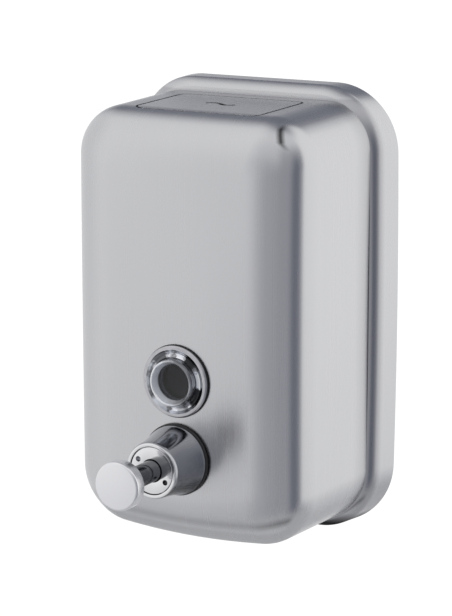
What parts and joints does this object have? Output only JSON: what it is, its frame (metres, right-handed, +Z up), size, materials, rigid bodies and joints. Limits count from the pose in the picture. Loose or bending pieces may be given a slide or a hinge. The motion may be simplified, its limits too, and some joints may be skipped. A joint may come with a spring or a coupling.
{
  "type": "wall mounted soap dispenser",
  "caption": "Upright drawn stainless soap tank on a back pan, with a hinged filler lid on top, a round sight window and a push-button valve in front.",
  "frame": {"origin": "middle of the wall plane, level with the middle of the shell's height", "axes": "+X to the right of a person facing the dispenser, +Y into the wall, +Z up"},
  "size_m": [0.1392, 0.1403, 0.2177],
  "materials": {
    "brushed_steel": "fine vertical brushing",
    "zinc_plate": "dull zinc plate",
    "chrome": "polished",
    "satin_chrome": "satin",
    "satin_steel": "dull satin, turned",
    "black_rubber": "matt",
    "clear_plastic": "clear, glossy",
    "grey_plastic": "moulded"
  },
  "bodies": {
    "housing": {"front_shell": "brushed_steel", "back_pan": "brushed_steel", "wall_bracket": "zinc_plate", "bracket_screw_1": "zinc_plate", "bracket_screw_2": "zinc_plate", "bracket_screw_3": "zinc_plate", "bracket_screw_4": "zinc_plate", "hanger_rail": "zinc_plate", "lock_screw": "zinc_plate", "hinge_ear_left": "brushed_steel", "hinge_ear_right": "brushed_steel", "hinge_pin": "zinc_plate", "window_gasket": "black_rubber", "window_bezel": "satin_steel", "window_lens": "clear_plastic", "window_nut": "grey_plastic", "valve_gasket": "black_rubber", "valve_body": "chrome", "retaining_ring": "chrome", "valve_washer": "black_rubber", "valve_nut": "zinc_plate", "inlet_cap": "grey_plastic", "return_spring": "chrome"},
    "plunger": {"push_button": "satin_chrome", "plunger_stem": "chrome", "piston_seal": "black_rubber"},
    "lid": {"filler_lid": "brushed_steel", "lid_leaf": "brushed_steel", "latch_guide": "zinc_plate", "latch_spring": "chrome"},
    "latch": {"latch_bolt": "zinc_plate"},
    "check_ball": {"check_ball": "chrome"}
  },
  "joints": [
    {"name": "button_press", "type": "slide", "parent": "housing", "child": "plunger", "axis": [0, 1, 0], "range_m": [0, 0.016], "stiffness_N_per_m": 500, "springref_m": -0.012, "deforming": ["return_spring"]},
    {"name": "lid_hinge", "type": "hinge", "parent": "housing", "child": "lid", "pos_m": [0, -0.037, 0.0946], "axis": [-1, 0, 0], "range_deg": [0, 95]},
    {"name": "latch_slide", "type": "slide", "parent": "lid", "child": "latch", "axis": [0, 1, 0], "range_m": [0, 0.003], "stiffness_N_per_m": 300, "springref_m": -0.002, "deforming": ["latch_spring"]},
    {"name": "ball_lift", "type": "slide", "parent": "housing", "child": "check_ball", "axis": [0, -1, 0], "range_m": [0, 0.0015]}
  ]
}
